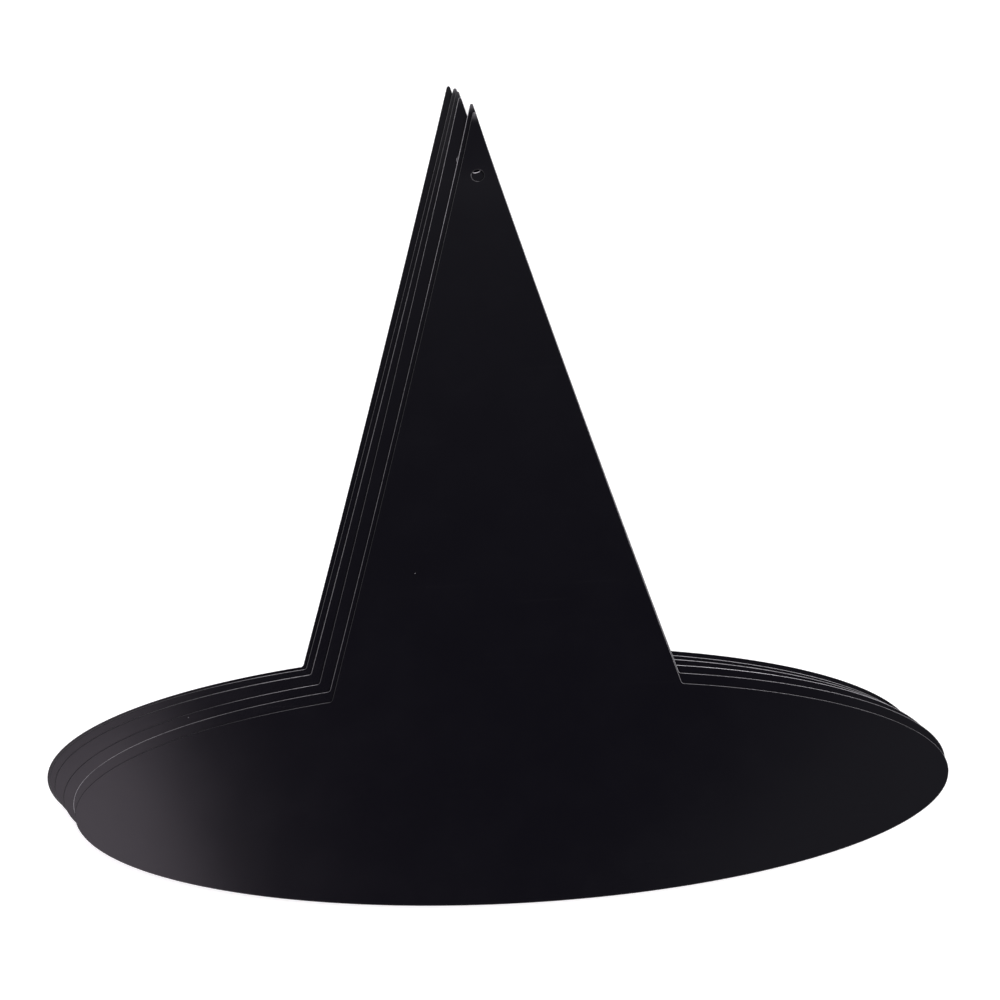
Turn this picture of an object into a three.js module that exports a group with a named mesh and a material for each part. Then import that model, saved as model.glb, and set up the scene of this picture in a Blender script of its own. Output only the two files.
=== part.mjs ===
// Six witch hat cut-outs, die-cut from thin black plastic sheet and lying in a loosely fanned pile.
// Every cut-out is the same flat silhouette: an elliptical brim with a tall pointed crown, and a
// round hole punched near the point for the ribbon that it hangs from.
// Millimetres. +Z is up off the table, +Y runs from the brim to the point of the lowest cut-out, and
// the origin is at that cut-out's brim centre, on its underside.
import * as THREE from 'three';

// Silhouette, measured from the centre of the brim's ellipse.
const brimWidth = 350;
const brimDepth = 89.5;
const crownWidth = 142; // between the two corners where crown and brim meet
const pointHeight = 302; // brim centre to the point that the crown's two sides run to
const crownHollow = 0.85; // how far each side of the crown bows in from a straight line
const cornerRadius = 1.2; // where crown and brim meet
const pointRadius = 0.8;

// Punched hole, on the crown's centre line.
const holeDiameter = 5.5;
const holeBelowPoint = 31.5;

// Plastic sheet, and the air left between neighbours in the pile.
const sheetThickness = 0.5;
const sheetGap = 0.3;

// How far each cut-out has slipped on the one under it: x along the brim, y up the crown, and its
// turn about the brim's centre in degrees. The lowest one has not slipped.
const slips = [
  { x: 0, y: 0, turn: 0 },
  { x: 1.0, y: -1.7, turn: -0.35 },
  { x: 2.1, y: -2.3, turn: 0.2 },
  { x: 3.8, y: -3.8, turn: 0.55 },
  { x: 4.05, y: -3.7, turn: -0.15 },
  { x: 0.75, y: -4.6, turn: -0.05 },
];

// Steps that the curves are drawn in.
const brimSteps = 176;
const crownSideSteps = 12;
const roundingSteps = 8;
const holeSteps = 48;

const plasticColour = 0x0d0d10;

// The arc that rounds the corner between two straight runs. The two directions point away from the
// corner, back along the run that comes in and forward along the run that goes out.
function roundedCorner(corner, back, forward, radius) {
  const halfAngle = Math.acos(back.dot(forward)) / 2;
  const trim = radius / Math.tan(halfAngle);
  const middle = back.clone().add(forward).normalize();
  const centre = corner.clone().addScaledVector(middle, radius / Math.sin(halfAngle));
  const start = corner.clone().addScaledVector(back, trim);
  const sweep = (Math.PI - 2 * halfAngle) * Math.sign(forward.cross(back));
  const points = [];
  for (let step = 0; step <= roundingSteps; step++) {
    points.push(start.clone().rotateAround(centre, (sweep * step) / roundingSteps));
  }
  return { points, trim };
}

// The stretch of a curve that is left once its two ends are cut back by the given lengths.
function trimmed(curve, startTrim, endTrim, steps) {
  const length = curve.getLength();
  const first = startTrim / length;
  const last = 1 - endTrim / length;
  const points = [];
  for (let step = 1; step < steps; step++) {
    points.push(curve.getPointAt(first + ((last - first) * step) / steps));
  }
  return points;
}

function crownSide(corner, point) {
  const run = point.clone().sub(corner);
  const inward = new THREE.Vector2(-run.y, run.x).normalize();
  const middle = corner.clone().add(point).divideScalar(2);
  return new THREE.QuadraticBezierCurve(
    corner,
    middle.addScaledVector(inward, 2 * crownHollow),
    point,
  );
}

function mirrored(points) {
  return points.map(({ x, y }) => new THREE.Vector2(-x, y)).reverse();
}

// The whole silhouette, anticlockwise from the right-hand corner of crown and brim.
function hatOutline() {
  const halfWidth = brimWidth / 2;
  const halfDepth = brimDepth / 2;
  const cornerAngle = Math.acos(crownWidth / brimWidth);
  const corner = new THREE.Vector2(
    halfWidth * Math.cos(cornerAngle),
    halfDepth * Math.sin(cornerAngle),
  );
  const point = new THREE.Vector2(0, pointHeight);

  const side = crownSide(corner, point);
  const brimEdge = new THREE.Vector2(
    halfWidth * Math.sin(cornerAngle),
    -halfDepth * Math.cos(cornerAngle),
  ).normalize();
  const intoPoint = side.getTangent(1).negate();
  const outOfPoint = new THREE.Vector2(-intoPoint.x, intoPoint.y);

  const cornerArc = roundedCorner(corner, brimEdge, side.getTangent(0), cornerRadius);
  const pointArc = roundedCorner(point, intoPoint, outOfPoint, pointRadius);
  const sidePoints = trimmed(side, cornerArc.trim, pointArc.trim, crownSideSteps);

  const edgeSpeed = Math.hypot(
    halfWidth * Math.sin(cornerAngle),
    halfDepth * Math.cos(cornerAngle),
  );
  const brimStart = Math.PI - cornerAngle + cornerArc.trim / edgeSpeed;
  const brimEnd = 3 * Math.PI - brimStart;
  const brim = new THREE.EllipseCurve(0, 0, halfWidth, halfDepth, brimStart, brimEnd);

  return [
    ...cornerArc.points,
    ...sidePoints,
    ...pointArc.points,
    ...mirrored(sidePoints),
    ...mirrored(cornerArc.points),
    ...brim.getPoints(brimSteps).slice(1, -1),
  ];
}

function cutoutGeometry() {
  const silhouette = new THREE.Shape(hatOutline());
  const hole = new THREE.Path();
  hole.absarc(0, pointHeight - holeBelowPoint, holeDiameter / 2, 0, 2 * Math.PI, true);
  silhouette.holes.push(hole);
  return new THREE.ExtrudeGeometry(silhouette, {
    depth: sheetThickness,
    bevelEnabled: false,
    curveSegments: holeSteps,
  });
}

// The pile, from the lowest cut-out up.
const pile = new THREE.Group();
const place = { x: 0, y: 0, turn: 0 };
slips.forEach((slip, layer) => {
  place.x += slip.x;
  place.y += slip.y;
  place.turn += slip.turn;
  const cutout = new THREE.Mesh(
    cutoutGeometry(),
    new THREE.MeshStandardMaterial({ color: plasticColour, roughness: 0.4, metalness: 0 }),
  );
  cutout.name = `hat_cutout_${layer + 1}`;
  cutout.position.set(place.x, place.y, layer * (sheetThickness + sheetGap));
  cutout.rotation.z = THREE.MathUtils.degToRad(place.turn);
  pile.add(cutout);
});

export default pile;
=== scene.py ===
"""Looks for the pile of six black plastic witch hat cut-outs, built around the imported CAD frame.

Every cut-out is rebuilt from the outline of its own CAD sheet with a rolled die-cut edge, a fine
skin mesh and a slight curl, and gets procedural satin plastic materials. Metres throughout.
"""
import math

import bmesh
import bpy
import numpy as np
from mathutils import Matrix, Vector
from mathutils.geometry import delaunay_2d_cdt


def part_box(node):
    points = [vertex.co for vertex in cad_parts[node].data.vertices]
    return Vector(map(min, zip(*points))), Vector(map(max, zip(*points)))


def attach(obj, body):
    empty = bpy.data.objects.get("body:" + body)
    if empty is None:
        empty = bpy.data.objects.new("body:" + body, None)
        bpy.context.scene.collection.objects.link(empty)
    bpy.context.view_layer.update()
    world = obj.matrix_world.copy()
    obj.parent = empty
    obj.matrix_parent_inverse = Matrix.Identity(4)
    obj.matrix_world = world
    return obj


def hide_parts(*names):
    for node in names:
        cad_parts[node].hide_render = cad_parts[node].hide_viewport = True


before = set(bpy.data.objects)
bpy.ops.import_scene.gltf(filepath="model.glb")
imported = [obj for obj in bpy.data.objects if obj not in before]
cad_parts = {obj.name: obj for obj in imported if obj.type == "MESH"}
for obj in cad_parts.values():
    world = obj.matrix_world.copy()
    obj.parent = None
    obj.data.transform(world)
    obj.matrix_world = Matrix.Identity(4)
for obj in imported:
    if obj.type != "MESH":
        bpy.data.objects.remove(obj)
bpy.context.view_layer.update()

MM = 0.001

# Camera: looks down on the pile from its brim side.
CAMERA_AZIMUTH = math.radians(-2.92)
CAMERA_ELEVATION = math.radians(72)
CAMERA_DISTANCE = 1.119
CAMERA_LENS = 96.8
CAMERA_SENSOR = 36
LOOK_FROM_BRIM_CENTRE = Vector((0.0129, 0.1083, 0))

# Reading a CAD sheet: how near two vertices are when they are one, and the least upward normal of
# a face that belongs to the sheet's upper side.
WELD = 0.001 * MM
FACES_UP = 0.5

# Skin mesh of a cut-out: a staggered grid of points, clear of the outline.
SKIN_STEP = 5 * MM
SKIN_ROW = SKIN_STEP * math.sqrt(0.75)
SKIN_CLEAR_OF_RIM = 2 * MM
FILL_CONVEX_HULL = 0
FILL_TOLERANCE = 1e-9

# Material slots of a cut-out.
SKIN, ROLLED_RIM, CUT_WALL = range(3)

# Die-cut edge: rounded over where the blade went in, nearly square where it came out.
LOWER_ARRIS = 0.04 * MM
ARRIS_STEPS = 5
FLAT_BESIDE_ARRIS = 0.12 * MM

# Radius of each cut-out's rolled edge, from the lowest up, along its outline and round its hole.
ROLLED_EDGE = [0.20 * MM, 0.24 * MM, 0.34 * MM, 0.22 * MM, 0.24 * MM, 0.18 * MM]
ROLLED_HOLE = [0.28 * MM, 0.28 * MM, 0.28 * MM, 0.28 * MM, 0.45 * MM, 0.28 * MM]

# How pale the rolled edge of each cut-out is, from the lowest up: partly stress-whitened plastic
# and partly a painted glint for the light the rolled edge catches, strongest where it faces the
# back-right light. The values are where it faces left, at the left end of the brim, where it faces
# left near the point, and where it faces the back right. The last two are for the hole: its front
# left side, which also faces the back right, and the rest of it.
PALE_AND_GLINT_LEFT = [0.03, 0.05, 0.11, 0.06, 0.12, 0.02]
PALE_AND_GLINT_LEFT_END = [0.01, 0.02, 0.01, 0.00, 0.26, 0.00]
PALE_AND_GLINT_POINT = [0.03, 0.05, 0.04, 0.28, 0.38, 0.05]
PALE_AND_GLINT_RIGHT = [0.03, 0.46, 0.32, 0.66, 0.34, 0.26]
PALE_AND_GLINT_HOLE_FRONT = [0.10, 0.30, 0.24, 0.40, 0.85, 0.12]
PALE_AND_GLINT_HOLE_BACK = [0.05, 0.10, 0.10, 0.10, 0.90, 0.01]
# Painted glint: the way to the back-right light and how far an edge must face it, then where along
# the outline the paleness changes towards the point and the brim's ends, and how much it fades at
# the right end.
GLINT_FACING = Vector((0.77, 0.64))
GLINT_FACING_SPAN = (0.44, 0.60)
NEAR_POINT_SPAN = (0.55, 0.95)
LEFT_END_SPAN = (0.50, 0.85)
RIGHT_END_SPAN = (0.62, 0.95)
RIGHT_END_FADE = 0.5

# Greying of the points, from the lowest up: the very point, where the plastic is bent and scuffed,
# and a longer stretch below it, where the sheets rub on each other. Both are partly a painted
# highlight for the light that the curled points catch.
POINT_HIGHLIGHT_AND_SCUFF = [0.01, 0.12, 0.07, 0.03, 0.14, 0.19]
POINT_HIGHLIGHT_AND_SCUFF_REACH = 6 * MM
POINT_HIGHLIGHT_AND_SCUFF_POWER = 3.0
POINT_SHEEN_AND_RUB = [0.0015, 0.014, 0.012, 0.003, 0.003, 0.003]
POINT_SHEEN_AND_RUB_REACH = 50 * MM

# Curl of the sheets: the brim's ends and the points rise a little, more towards the pile's top.
BRIM_BOW = 0.2 * MM
BRIM_SPREAD = 0.6 * MM
POINT_LIFT = 5.0 * MM
POINT_LIFT_FROM = 0.84
POINT_LIFT_POWER = 1.5
RIPPLE = 0.05 * MM
RIPPLE_WAVES = [(31, 17, 0), (-19, 23, 1)]

# The plastic's colours, and its finish where it is calendered, rolled and cut.
BLACK = (0.0034, 0.0031, 0.0051, 1)
SMUDGED_BLACK = (0.0038, 0.0035, 0.0056, 1)
CUT_BLACK = (0.012, 0.0115, 0.014, 1)
# White of stretched plastic, also used for the painted glints on the edges and the painted
# highlight at the points.
STRETCHED_AND_HIGHLIGHT_WHITE = (0.97, 0.94, 1.0, 1)
DUST = (0.20, 0.20, 0.21, 1)
PLASTIC_IOR = 1.49
SKIN_GLOSS = (0.145, 0.165)
ROLLED_GLOSS = (0.26, 0.42)
CUT_GLOSS = (0.34, 0.48)
DUST_DULLNESS = 0.4

# The plastic's patterns. Each noise has its waves per metre, its octaves and the weight of each
# octave against the last. A range is the part of a noise's values that is used, and a share is what
# it turns into. Each sheet samples the patterns that far above the sheet below it.
SHEET_OFFSET = 0.37
SMUDGE_NOISE = (46.0, 5.0, 0.6)
SMUDGE_COLOUR_RANGE = (0.4, 0.8)
SMUDGE_GLOSS_RANGE = (0.35, 0.75)
WAVE_NOISE = (20.0, 1.0, 0.5)
WAVE_DEPTH = 0.012 * MM
GRAIN_NOISE = (2600.0, 2.0, 0.5)
GRAIN_DEPTH = 0.003 * MM
GRAIN_STRENGTH = 0.5

# Hairline scuffs: lines in two directions, in waves per metre along x, y and z, and their patches.
HAIRLINE_TURNS = (0.55, -0.9)
HAIRLINE_STRETCH = (14, 1500, 14)
HAIRLINE_NOISE = (1.0, 2.0, 0.5)
HAIRLINE_RANGE = (0.70, 0.76)
SCUFF_PATCH_NOISE = (24.0, 2.0, 0.5)
SCUFF_PATCH_RANGE = (0.50, 0.68)
SCUFF_DULLNESS = 0.06
SCUFF_GREY = 0.01

# Dust specks: cells per metre, a speck's core and rim in cells, and the share of cells without one.
SPECK_CELLS = 170.0
SPECK_EDGE = (0.022, 0.040)
SPECK_RARITY = 0.965

# Uneven greying of the points, painted highlight and scuffing alike.
POINT_GRAIN_NOISE = (900.0, 3.0, 0.5)
POINT_GRAIN_RANGE = (0.3, 0.6)
POINT_GRAIN_SHARE = (0.5, 1.2)

# Rolled edge: where the blade stretched it, its nicks, and the fine ticks that roughen it.
STRETCH_NOISE = (60.0, 4.0, 0.6)
STRETCH_RANGE = (0.30, 0.60)
STRETCH_SHARE = (0.60, 1.0)
NICK_NOISE = (700.0, 2.0, 0.5)
NICK_RANGE = (0.30, 0.45)
NICK_SHARE = (0.5, 1.0)
TICK_NOISE = (1400.0, 2.0, 0.5)
TICK_RANGE = (0.3, 0.7)
TICK_DEPTH = 0.006 * MM

# Cut wall: scores along the blade's path, in waves per metre along x, y and z, and duller patches.
SCORE_STRETCH = (40, 40, 9000)
SCORE_NOISE = (1.0, 3.0, 0.5)
SCORE_DEPTH = 0.01 * MM
CUT_PATCH_NOISE = (90.0, 3.0, 0.5)
CUT_PATCH_RANGE = (0.3, 0.7)

# Studio: a glowing white table, a dim room and a dark panel overhead that the flat sheets mirror.
FLOOR_REACH = 30
FLOOR_DROP = 0.05 * MM
FLOOR_WHITE = (0.86, 0.86, 0.86, 1)
FLOOR_ROUGHNESS = 0.9
FLOOR_SPECULAR = 0.2
FLOOR_GLOW = 0.5
PANEL_DIRECTION = Vector((0.0, 0.087, 0.996)).normalized()
PANEL_CENTRE = math.radians(6)
PANEL_EDGE = math.radians(29.5)
PANEL_RADIANCE = 0.011
ROOM_RADIANCE = 0.30

# Softboxes: place, turns about x, y and z in degrees, size, radiance and colour. The sheets mirror
# the first ones. The fill ones only light the scene: mirrored, they would turn the black plastic
# grey from behind and from the front.
WHITE = (1, 1, 1)
FAINT_PINK = (1, 0.885, 1)
MIRRORED_BOXES = {
    "left_box": ((-0.697, -0.31, 1.25), (0, 18, 13), (1.2, 1.0), 1.75, FAINT_PINK),
    "right_panel": ((0.66, -0.26, 1.2), (0, 0, -46), (1.3, 1.6), 0.14, WHITE),
    "right_end_panel": ((1.33, 0.3, 1.2), (0, -30, 0), (1.5, 1.6), 0.8, WHITE),
}
FILL_BOXES = {
    "back_box": ((0.56, 2.08, 2.08), (-46, 0, -15), (1.8, 0.9), 7.6, WHITE),
    "front_box": ((0.0, -2.2, 1.9), (49, 0, 0), (2.4, 1.4), 3.5, WHITE),
    "right_box": ((2.2, 0.2, 1.8), (0, 51, 0), (1.6, 1.6), 3.5, WHITE),
}


def aim(thing, target):
    direction = target - thing.location
    thing.rotation_mode = "QUATERNION"
    thing.rotation_quaternion = direction.to_track_quat("-Z", "Y")


def from_azimuth(azimuth, elevation):
    """The direction towards a viewer at that azimuth and elevation; azimuth 0 looks along +Y."""
    flat = math.cos(elevation)
    return Vector((math.sin(azimuth) * flat, -math.cos(azimuth) * flat, math.sin(elevation)))


def add_camera():
    data = bpy.data.cameras.new("camera")
    data.lens = CAMERA_LENS
    data.sensor_width = CAMERA_SENSOR
    camera = bpy.data.objects.new("camera", data)
    bpy.context.scene.collection.objects.link(camera)
    back = from_azimuth(CAMERA_AZIMUTH, CAMERA_ELEVATION)
    camera.location = LOOK_FROM_BRIM_CENTRE + back * CAMERA_DISTANCE
    aim(camera, LOOK_FROM_BRIM_CENTRE)
    bpy.context.scene.camera = camera


def smoothstep(value, start, end):
    share = np.clip((value - start) / (end - start), 0, 1)
    return share * share * (3 - 2 * share)


def between(share, first, second):
    return first + (second - first) * share


# ---- Outlines, read from the CAD sheets ----


def rim_loops(node):
    """The edges of a CAD sheet's upper side: (n, 2) arrays, longest first, plastic on the left."""
    source = bmesh.new()
    source.from_mesh(node.data)
    bmesh.ops.remove_doubles(source, verts=source.verts, dist=WELD)
    source.normal_update()
    following = {}
    for face in source.faces:
        if face.normal.z < FACES_UP:
            continue
        for corner in face.loops:
            if all(other.normal.z > FACES_UP for other in corner.edge.link_faces):
                continue
            following[corner.vert.index] = corner.link_loop_next.vert.index
    places = {vert.index: (vert.co.x, vert.co.y) for vert in source.verts}
    source.free()
    loops = []
    while following:
        index = min(following)
        loop = []
        while index in following:
            loop.append(places[index])
            index = following.pop(index)
        loops.append(np.array(loop))
    return sorted(loops, key=len, reverse=True)


def divided(loop, step):
    """The same closed loop with its long runs split, so that no run is longer than the step."""
    points = []
    for here, there in zip(loop, np.roll(loop, -1, axis=0)):
        parts = max(1, math.ceil(np.linalg.norm(there - here) / step))
        for part in range(parts):
            points.append(here + (there - here) * part / parts)
    return np.array(points)


def inward(loop):
    """Unit directions from each point of the loop into the plastic on its left."""
    ahead = np.roll(loop, -1, axis=0) - loop
    ahead /= np.linalg.norm(ahead, axis=1)[:, None]
    along = ahead + np.roll(ahead, 1, axis=0)
    along /= np.linalg.norm(along, axis=1)[:, None]
    return np.stack([-along[:, 1], along[:, 0]], axis=1)


def inside(points, loop):
    """Which of the points lie inside the closed loop, by counting the edges that a ray crosses."""
    x, y = points[:, 0][:, None], points[:, 1][:, None]
    ax, ay = loop.T
    bx, by = np.roll(loop, -1, axis=0).T
    spans = (ay > y) != (by > y)
    run = np.where(by == ay, 1, by - ay)
    crosses = spans & (x < ax + (y - ay) * (bx - ax) / run)
    return crosses.sum(axis=1) % 2 == 1


def clear_of(points, loop, distance):
    gaps = np.linalg.norm(points[:, None, :] - loop[None, :, :], axis=2)
    return gaps.min(axis=1) > distance


# ---- Shape of a cut-out ----


def skin_triangles(loops):
    """Points and triangles that fill the outer loop and leave the hole open: (points, triangles).

    The loops' own points come first, in order, then a staggered grid of inner points.
    """
    rim = np.concatenate(loops)
    low, high = rim.min(axis=0), rim.max(axis=0)
    columns = np.arange(low[0], high[0], SKIN_STEP)
    rows = np.arange(low[1], high[1], SKIN_ROW)
    grid = np.array([
        (x + (row % 2) * SKIN_STEP / 2, y) for row, y in enumerate(rows) for x in columns
    ])
    outer, hole = loops
    grid = grid[inside(grid, outer) & ~inside(grid, hole)]
    grid = grid[clear_of(grid, rim, SKIN_CLEAR_OF_RIM)]
    points = np.concatenate([rim, grid])

    edges = []
    start = 0
    for loop in loops:
        count = len(loop)
        edges += [(start + i, start + (i + 1) % count) for i in range(count)]
        start += count
    corners = [Vector(point) for point in points]
    found = delaunay_2d_cdt(corners, edges, [], FILL_CONVEX_HULL, FILL_TOLERANCE)
    _, _, faces, sources, _, _ = found
    triangles = np.array([[sources[i][0] for i in face] for face in faces])
    middles = points[triangles].mean(axis=1)
    triangles = triangles[inside(middles, outer) & ~inside(middles, hole)]
    return points, triangles


def edge_profile(radius, thickness):
    """The cut edge's section, from the upper skin round to the lower one: (inset, height) pairs."""
    profile = [(radius + FLAT_BESIDE_ARRIS, thickness)]
    for step in range(ARRIS_STEPS + 1):
        angle = math.pi / 2 * step / ARRIS_STEPS
        profile.append((radius * (1 - math.sin(angle)), thickness - radius * (1 - math.cos(angle))))
    profile.append((0, LOWER_ARRIS))
    profile.append((LOWER_ARRIS, 0))
    profile.append((radius + FLAT_BESIDE_ARRIS, 0))
    return profile


def edge_ring(loops, sides, profiles, step):
    """The vertices at one step of the edge's section, round every loop."""
    parts = []
    for loop, side, profile in zip(loops, sides, profiles):
        inset, height = profile[step]
        parts.append(np.column_stack([loop + side * inset, np.full(len(loop), height)]))
    return np.concatenate(parts)


def curl(x, y, layer):
    """How far the sheet of that layer, from 0 for the lowest, stands off its flat CAD place."""
    low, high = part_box("hat_cutout_1")
    share = layer / (len(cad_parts) - 1)
    across = x / ((high.x - low.x) / 2)
    up = np.clip((y / high.y - POINT_LIFT_FROM) / (1 - POINT_LIFT_FROM), 0, None)
    bow = (BRIM_BOW + BRIM_SPREAD * share) * across ** 2
    point = POINT_LIFT * share ** POINT_LIFT_POWER * up ** 2
    waves = [(1 + np.sin(kx * x + ky * y + phase)) / 2 for kx, ky, phase in RIPPLE_WAVES]
    return bow + point + RIPPLE * np.mean(waves, axis=0)


def facing_share(sides):
    """How far the edge faces the back right, towards the light whose glint is painted on it, where
    the sides point into the plastic.
    """
    return smoothstep(-sides @ np.array(GLINT_FACING), *GLINT_FACING_SPAN)


def outline_paleness_and_glint(points, sides, layer):
    """How pale the rolled edge is at those points of the cut-out's outline: stress-whitening and a
    painted glint together.
    """
    low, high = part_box(f"hat_cutout_{layer + 1}")
    across = (points[:, 0] - (low.x + high.x) / 2) / high.x
    up = smoothstep(points[:, 1] / high.y, *NEAR_POINT_SPAN)
    left = between(up, PALE_AND_GLINT_LEFT[layer], PALE_AND_GLINT_POINT[layer])
    left = between(smoothstep(-across, *LEFT_END_SPAN), left, PALE_AND_GLINT_LEFT_END[layer])
    fade = 1 - RIGHT_END_FADE * smoothstep(across, *RIGHT_END_SPAN)
    return between(facing_share(sides), left, PALE_AND_GLINT_RIGHT[layer] * fade)


def hole_paleness_and_glint(sides, layer):
    """How pale the rolled edge is round the cut-out's hole: stress-whitening and a painted glint
    together.
    """
    return between(facing_share(sides), PALE_AND_GLINT_HOLE_BACK[layer], PALE_AND_GLINT_HOLE_FRONT[layer])


def ring_faces(above, below, loops):
    """Quads between two rings of vertices that start at those numbers."""
    faces = []
    first = 0
    for loop in loops:
        count = len(loop)
        for i in range(count):
            here, there = first + i, first + (i + 1) % count
            faces.append((above + here, below + here, below + there, above + there))
        first += count
    return faces


def cutout_mesh(layer):
    """One cut-out, from the outline of its CAD node: (mesh, each face's surface, its point)."""
    name = f"hat_cutout_{layer + 1}"
    low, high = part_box(name)
    thickness = high.z - low.z
    loops = [divided(loop, SKIN_STEP) for loop in rim_loops(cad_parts[name])]
    sides = [inward(loop) for loop in loops]
    radii = (ROLLED_EDGE[layer], ROLLED_HOLE[layer])
    profiles = [edge_profile(radius, thickness) for radius in radii]
    last_step = len(profiles[0]) - 1

    rims = [loop + side * profile[0][0] for loop, side, profile in zip(loops, sides, profiles)]
    flat, triangles = skin_triangles(rims)

    # Vertices: upper skin, then the edge's rings, then the lower skin.
    levels = [np.column_stack([flat, np.full(len(flat), thickness)])]
    levels += [edge_ring(loops, sides, profiles, step) for step in range(1, last_step)]
    levels.append(np.column_stack([flat, np.zeros(len(flat))]))
    starts = [0]
    for level in levels:
        starts.append(starts[-1] + len(level))
    vertices = np.concatenate(levels)
    vertices[:, 2] += low.z + curl(vertices[:, 0], vertices[:, 1], layer)

    # Paleness of the rolled edge, partly whitened plastic and partly a painted glint, carried on
    # the vertices.
    rim_pale_and_glint = np.concatenate([
        outline_paleness_and_glint(loops[0], sides[0], layer),
        hole_paleness_and_glint(sides[1], layer),
    ])
    skin_pale_and_glint = np.concatenate([rim_pale_and_glint, np.zeros(len(flat) - len(rim_pale_and_glint))])
    pale_and_glint = np.concatenate([skin_pale_and_glint] + [rim_pale_and_glint] * (last_step - 1) + [skin_pale_and_glint])

    # Faces, and which of the skin, the rolled edge and the cut wall each of them belongs to.
    upper = triangles.tolist()
    lower = (triangles[:, ::-1] + starts[-2]).tolist()
    faces = upper + lower
    surfaces = [SKIN] * len(faces)
    for step in range(last_step):
        ring = ring_faces(starts[step], starts[step + 1], loops)
        if step in (0, last_step - 1):
            surface = SKIN
        elif step <= ARRIS_STEPS:
            surface = ROLLED_RIM
        else:
            surface = CUT_WALL
        faces += ring
        surfaces += [surface] * len(ring)

    mesh = bpy.data.meshes.new(f"witch_hat_{layer + 1}")
    mesh.from_pydata(vertices.tolist(), [], faces)
    mesh.polygons.foreach_set("use_smooth", [True] * len(faces))
    mesh.attributes.new("paleness_and_glint", "FLOAT", "POINT").data.foreach_set("value", pale_and_glint)
    return mesh, surfaces, vertices[vertices[:, 1].argmax()].tolist()


def add_cutout(layer):
    """The finished piece for one cut-out, standing for its CAD node."""
    mesh, surfaces, point = cutout_mesh(layer)
    mesh.materials.append(satin_plastic(layer, point))
    mesh.materials.append(rolled_plastic(layer))
    mesh.materials.append(cut_plastic(layer))
    mesh.polygons.foreach_set("material_index", surfaces)
    mesh.validate()
    piece = bpy.data.objects.new(f"witch_hat_{layer + 1}", mesh)
    bpy.context.scene.collection.objects.link(piece)
    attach(piece, f"cutout_{layer + 1}")
    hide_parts(f"hat_cutout_{layer + 1}")


# ---- Materials ----


class Nodes:
    """A material's node tree, with one short call for each node that is added to it."""

    def __init__(self, name):
        self.material = bpy.data.materials.new(name)
        self.material.use_nodes = True
        self.tree = self.material.node_tree
        self.shader = self.tree.nodes["Principled BSDF"]

    def add(self, kind, settings=None, **inputs):
        node = self.tree.nodes.new(kind)
        for key, value in (settings or {}).items():
            setattr(node, key, value)
        for key, value in inputs.items():
            self.feed(node, key.replace("_", " "), value)
        return node

    def feed(self, node, name, value):
        socket = node.inputs[int(name)] if name.isdigit() else node.inputs[name]
        if isinstance(value, bpy.types.NodeSocket):
            self.tree.links.new(value, socket)
        else:
            socket.default_value = value

    def places(self, offset, turn=0.0, scale=(1, 1, 1)):
        where = self.add("ShaderNodeTexCoord")
        return self.add(
            "ShaderNodeMapping",
            Vector=where.outputs["Object"],
            Location=(0, 0, offset),
            Rotation=(0, 0, turn),
            Scale=scale,
        ).outputs["Vector"]

    def noise(self, vector, scale, detail, roughness):
        node = self.add(
            "ShaderNodeTexNoise", Vector=vector, Scale=scale, Detail=detail, Roughness=roughness
        )
        return node.outputs["Fac"]

    def ranged(self, value, from_low, from_high, to_low=0.0, to_high=1.0, smooth=False):
        settings = {"interpolation_type": "SMOOTHSTEP" if smooth else "LINEAR"}
        node = self.add("ShaderNodeMapRange", settings)
        for key, number in zip(
            ("Value", "From Min", "From Max", "To Min", "To Max"),
            (value, from_low, from_high, to_low, to_high),
        ):
            self.feed(node, key, number)
        return node.outputs["Result"]

    def math(self, operation, first, second):
        node = self.add("ShaderNodeMath", {"operation": operation})
        self.feed(node, "0", first)
        self.feed(node, "1", second)
        return node.outputs["Value"]

    def product(self, *factors):
        result = factors[0]
        for factor in factors[1:]:
            result = self.math("MULTIPLY", result, factor)
        return result

    def mixed(self, share, first, second):
        node = self.add("ShaderNodeMix", {"data_type": "RGBA"})
        self.feed(node, "0", share)
        self.feed(node, "6", first)
        self.feed(node, "7", second)
        return node.outputs[2]

    def bump(self, height, distance, strength=1.0, under=None):
        node = self.add("ShaderNodeBump", Height=height, Distance=distance, Strength=strength)
        if under is not None:
            self.feed(node, "Normal", under)
        return node.outputs["Normal"]

    def finish(self, colour, roughness, normal):
        self.feed(self.shader, "Base Color", colour)
        self.feed(self.shader, "Roughness", roughness)
        self.feed(self.shader, "Normal", normal)
        self.feed(self.shader, "IOR", PLASTIC_IOR)
        return self.material


def hairline_scuffs(n, offset, place):
    """Patches of fine straight scratches in two directions, from sheets sliding on each other."""
    lines = []
    for turn in HAIRLINE_TURNS:
        along = n.places(offset, turn, HAIRLINE_STRETCH)
        lines.append(n.ranged(n.noise(along, *HAIRLINE_NOISE), *HAIRLINE_RANGE))
    worn = n.ranged(n.noise(place, *SCUFF_PATCH_NOISE), *SCUFF_PATCH_RANGE, smooth=True)
    return n.product(n.math("MAXIMUM", *lines), worn)


def dust_specks(n, place):
    """A few of the cells of a fine cell pattern hold one speck each."""
    cells = n.add("ShaderNodeTexVoronoi", Vector=place, Scale=SPECK_CELLS)
    speck = n.ranged(cells.outputs["Distance"], *SPECK_EDGE, 1.0, 0.0)
    chosen = n.add("ShaderNodeSeparateColor", Color=cells.outputs["Color"]).outputs["Red"]
    return n.product(speck, n.math("GREATER_THAN", chosen, SPECK_RARITY))


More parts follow.
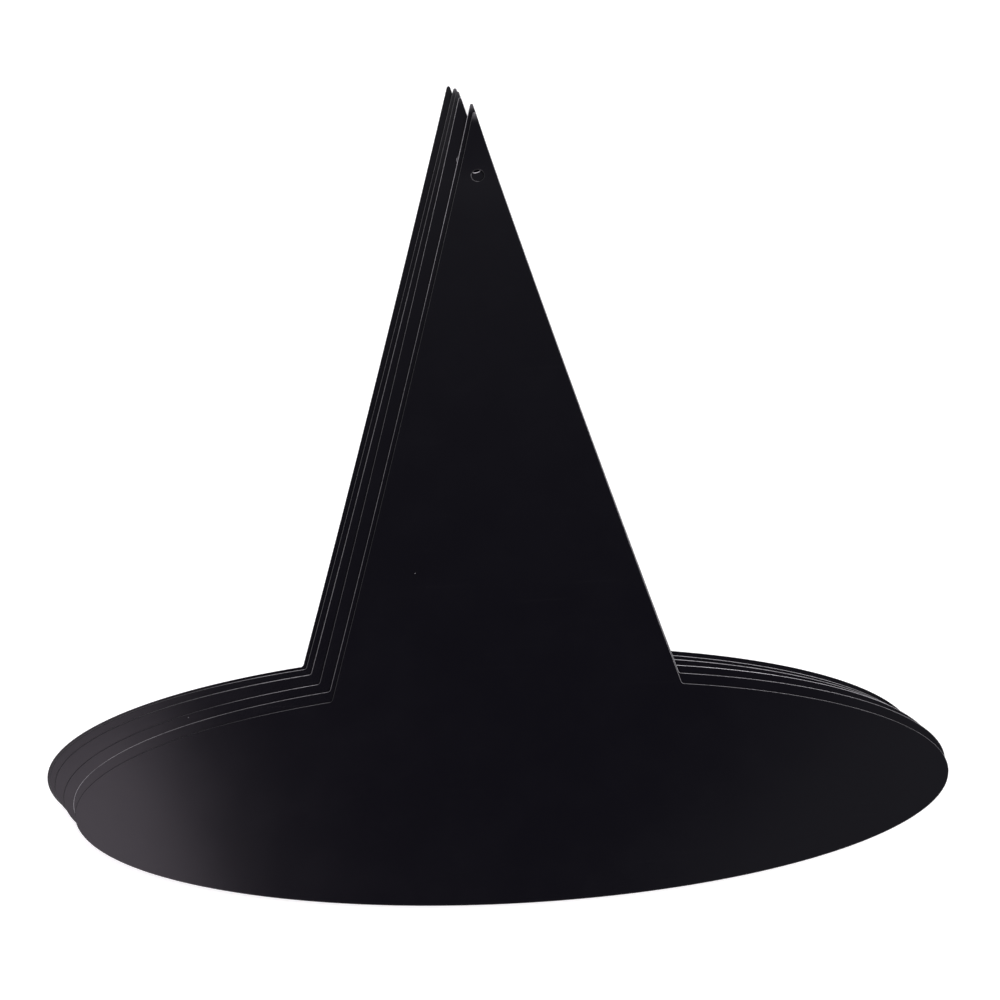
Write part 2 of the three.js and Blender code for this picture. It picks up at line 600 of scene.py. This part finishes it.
def point_highlight_and_scuffs(n, layer, point, place):
    """How grey the skin is near the cut-out's point, from its bending and its rubbing and from a
    painted highlight.
    """
    where = n.add("ShaderNodeTexCoord").outputs["Object"]
    from_point = n.add("ShaderNodeVectorMath", {"operation": "DISTANCE"})
    n.feed(from_point, "0", where)
    n.feed(from_point, "1", point)
    distance = from_point.outputs["Value"]
    bent = n.ranged(distance, 0, POINT_HIGHLIGHT_AND_SCUFF_REACH, 1.0, 0.0)
    highlight_and_scuff = n.product(n.math("POWER", bent, POINT_HIGHLIGHT_AND_SCUFF_POWER), POINT_HIGHLIGHT_AND_SCUFF[layer])
    sheen_and_rub = n.product(n.ranged(distance, 0, POINT_SHEEN_AND_RUB_REACH, 1.0, 0.0), POINT_SHEEN_AND_RUB[layer])
    grain = n.ranged(n.noise(place, *POINT_GRAIN_NOISE), *POINT_GRAIN_RANGE, *POINT_GRAIN_SHARE)
    return n.math("ADD", n.product(highlight_and_scuff, grain), sheen_and_rub)


def satin_plastic(layer, point):
    """The sheet's skin: calendered black plastic, satin, with smudges, hairlines, dust and a
    painted highlight at its point.
    """
    n = Nodes(f"satin_plastic_{layer + 1}")
    offset = SHEET_OFFSET * layer
    place = n.places(offset)
    smudges = n.noise(place, *SMUDGE_NOISE)
    scuffs = hairline_scuffs(n, offset, place)
    specks = dust_specks(n, place)

    skin = n.mixed(n.ranged(smudges, *SMUDGE_COLOUR_RANGE), BLACK, SMUDGED_BLACK)
    skin = n.mixed(n.product(scuffs, SCUFF_GREY), skin, DUST)
    skin = n.mixed(specks, skin, DUST)
    # Painted highlight at the point, together with its bent and scuffed plastic.
    skin = n.mixed(point_highlight_and_scuffs(n, layer, point, place), skin, STRETCHED_AND_HIGHLIGHT_WHITE)

    gloss = n.ranged(smudges, *SMUDGE_GLOSS_RANGE, *SKIN_GLOSS, smooth=True)
    gloss = n.math("ADD", gloss, n.product(scuffs, SCUFF_DULLNESS))
    gloss = n.math("ADD", gloss, n.product(specks, DUST_DULLNESS))

    normal = n.bump(n.noise(place, *WAVE_NOISE), WAVE_DEPTH)
    normal = n.bump(n.noise(place, *GRAIN_NOISE), GRAIN_DEPTH, GRAIN_STRENGTH, normal)
    return n.finish(skin, gloss, normal)


def rolled_plastic(layer):
    """The rolled-over edge, paler than the skin where the blade stretched the plastic and where a
    glint is painted on it.
    """
    n = Nodes(f"rolled_plastic_{layer + 1}")
    place = n.places(SHEET_OFFSET * layer)
    pale_and_glint = n.add("ShaderNodeAttribute", {"attribute_name": "paleness_and_glint"}).outputs["Fac"]
    stretched = n.ranged(n.noise(place, *STRETCH_NOISE), *STRETCH_RANGE, *STRETCH_SHARE)
    nicks = n.ranged(n.noise(place, *NICK_NOISE), *NICK_RANGE, *NICK_SHARE)
    ticks = n.noise(place, *TICK_NOISE)
    # Painted glint and stress-whitening: the edge is mixed towards white by its paleness.
    colour = n.mixed(n.product(pale_and_glint, stretched, nicks), BLACK, STRETCHED_AND_HIGHLIGHT_WHITE)
    gloss = n.ranged(ticks, *TICK_RANGE, *ROLLED_GLOSS)
    return n.finish(colour, gloss, n.bump(ticks, TICK_DEPTH))


def cut_plastic(layer):
    """The cut wall: black like the skin but duller, scored along the blade's path."""
    n = Nodes(f"cut_plastic_{layer + 1}")
    offset = SHEET_OFFSET * layer
    scores = n.noise(n.places(offset, scale=SCORE_STRETCH), *SCORE_NOISE)
    patches = n.noise(n.places(offset), *CUT_PATCH_NOISE)
    colour = n.mixed(patches, BLACK, CUT_BLACK)
    gloss = n.ranged(patches, *CUT_PATCH_RANGE, *CUT_GLOSS)
    return n.finish(colour, gloss, n.bump(scores, SCORE_DEPTH))


def pale_floor():
    n = Nodes("pale_floor")
    n.feed(n.shader, "Base Color", FLOOR_WHITE)
    n.feed(n.shader, "Roughness", FLOOR_ROUGHNESS)
    n.feed(n.shader, "Specular IOR Level", FLOOR_SPECULAR)
    n.feed(n.shader, "Emission Color", FLOOR_WHITE)
    n.feed(n.shader, "Emission Strength", FLOOR_GLOW)
    return n.material


# ---- Studio ----


def add_floor():
    """A pale table that glows a little, as a photographer's light table does."""
    mesh = bpy.data.meshes.new("floor")
    reach = FLOOR_REACH
    corners = [(-reach, -reach, 0), (reach, -reach, 0), (reach, reach, 0), (-reach, reach, 0)]
    mesh.from_pydata(corners, [], [(0, 1, 2, 3)])
    mesh.materials.append(pale_floor())
    floor = bpy.data.objects.new("floor", mesh)
    floor.location.z = -FLOOR_DROP
    bpy.context.scene.collection.objects.link(floor)


def add_world():
    """A dim pale room with a dark ceiling panel overhead, which the flat glossy sheets mirror."""
    world = bpy.data.worlds.new("studio")
    bpy.context.scene.world = world
    world.use_nodes = True
    tree = world.node_tree
    where = tree.nodes.new("ShaderNodeTexCoord")
    towards = tree.nodes.new("ShaderNodeVectorMath")
    towards.operation = "DOT_PRODUCT"
    towards.inputs[1].default_value = PANEL_DIRECTION
    shade = tree.nodes.new("ShaderNodeMapRange")
    shade.interpolation_type = "SMOOTHSTEP"
    shade.inputs["From Min"].default_value = math.cos(PANEL_CENTRE)
    shade.inputs["From Max"].default_value = math.cos(PANEL_EDGE)
    shade.inputs["To Min"].default_value = PANEL_RADIANCE
    shade.inputs["To Max"].default_value = ROOM_RADIANCE
    tree.links.new(where.outputs["Generated"], towards.inputs[0])
    tree.links.new(towards.outputs["Value"], shade.inputs["Value"])
    tree.links.new(shade.outputs["Result"], tree.nodes["Background"].inputs["Color"])


def add_softbox(name, place, turns, size, radiance, colour):
    """A rectangular soft light at that place, facing down before its turns."""
    data = bpy.data.lights.new(name, "AREA")
    data.shape = "RECTANGLE"
    data.size, data.size_y = size
    data.energy = radiance * math.pi * size[0] * size[1]
    data.color = colour
    light = bpy.data.objects.new(name, data)
    bpy.context.scene.collection.objects.link(light)
    light.location = place
    light.rotation_euler = [math.radians(turn) for turn in turns]
    return light


def add_studio():
    add_floor()
    add_world()
    for name, settings in MIRRORED_BOXES.items():
        add_softbox(name, *settings)
    for name, settings in FILL_BOXES.items():
        add_softbox(name, *settings).visible_glossy = False
    view = bpy.context.scene.view_settings
    view.view_transform = "Standard"
    view.look = "None"


add_camera()
for layer in range(len(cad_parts)):
    add_cutout(layer)
add_studio()
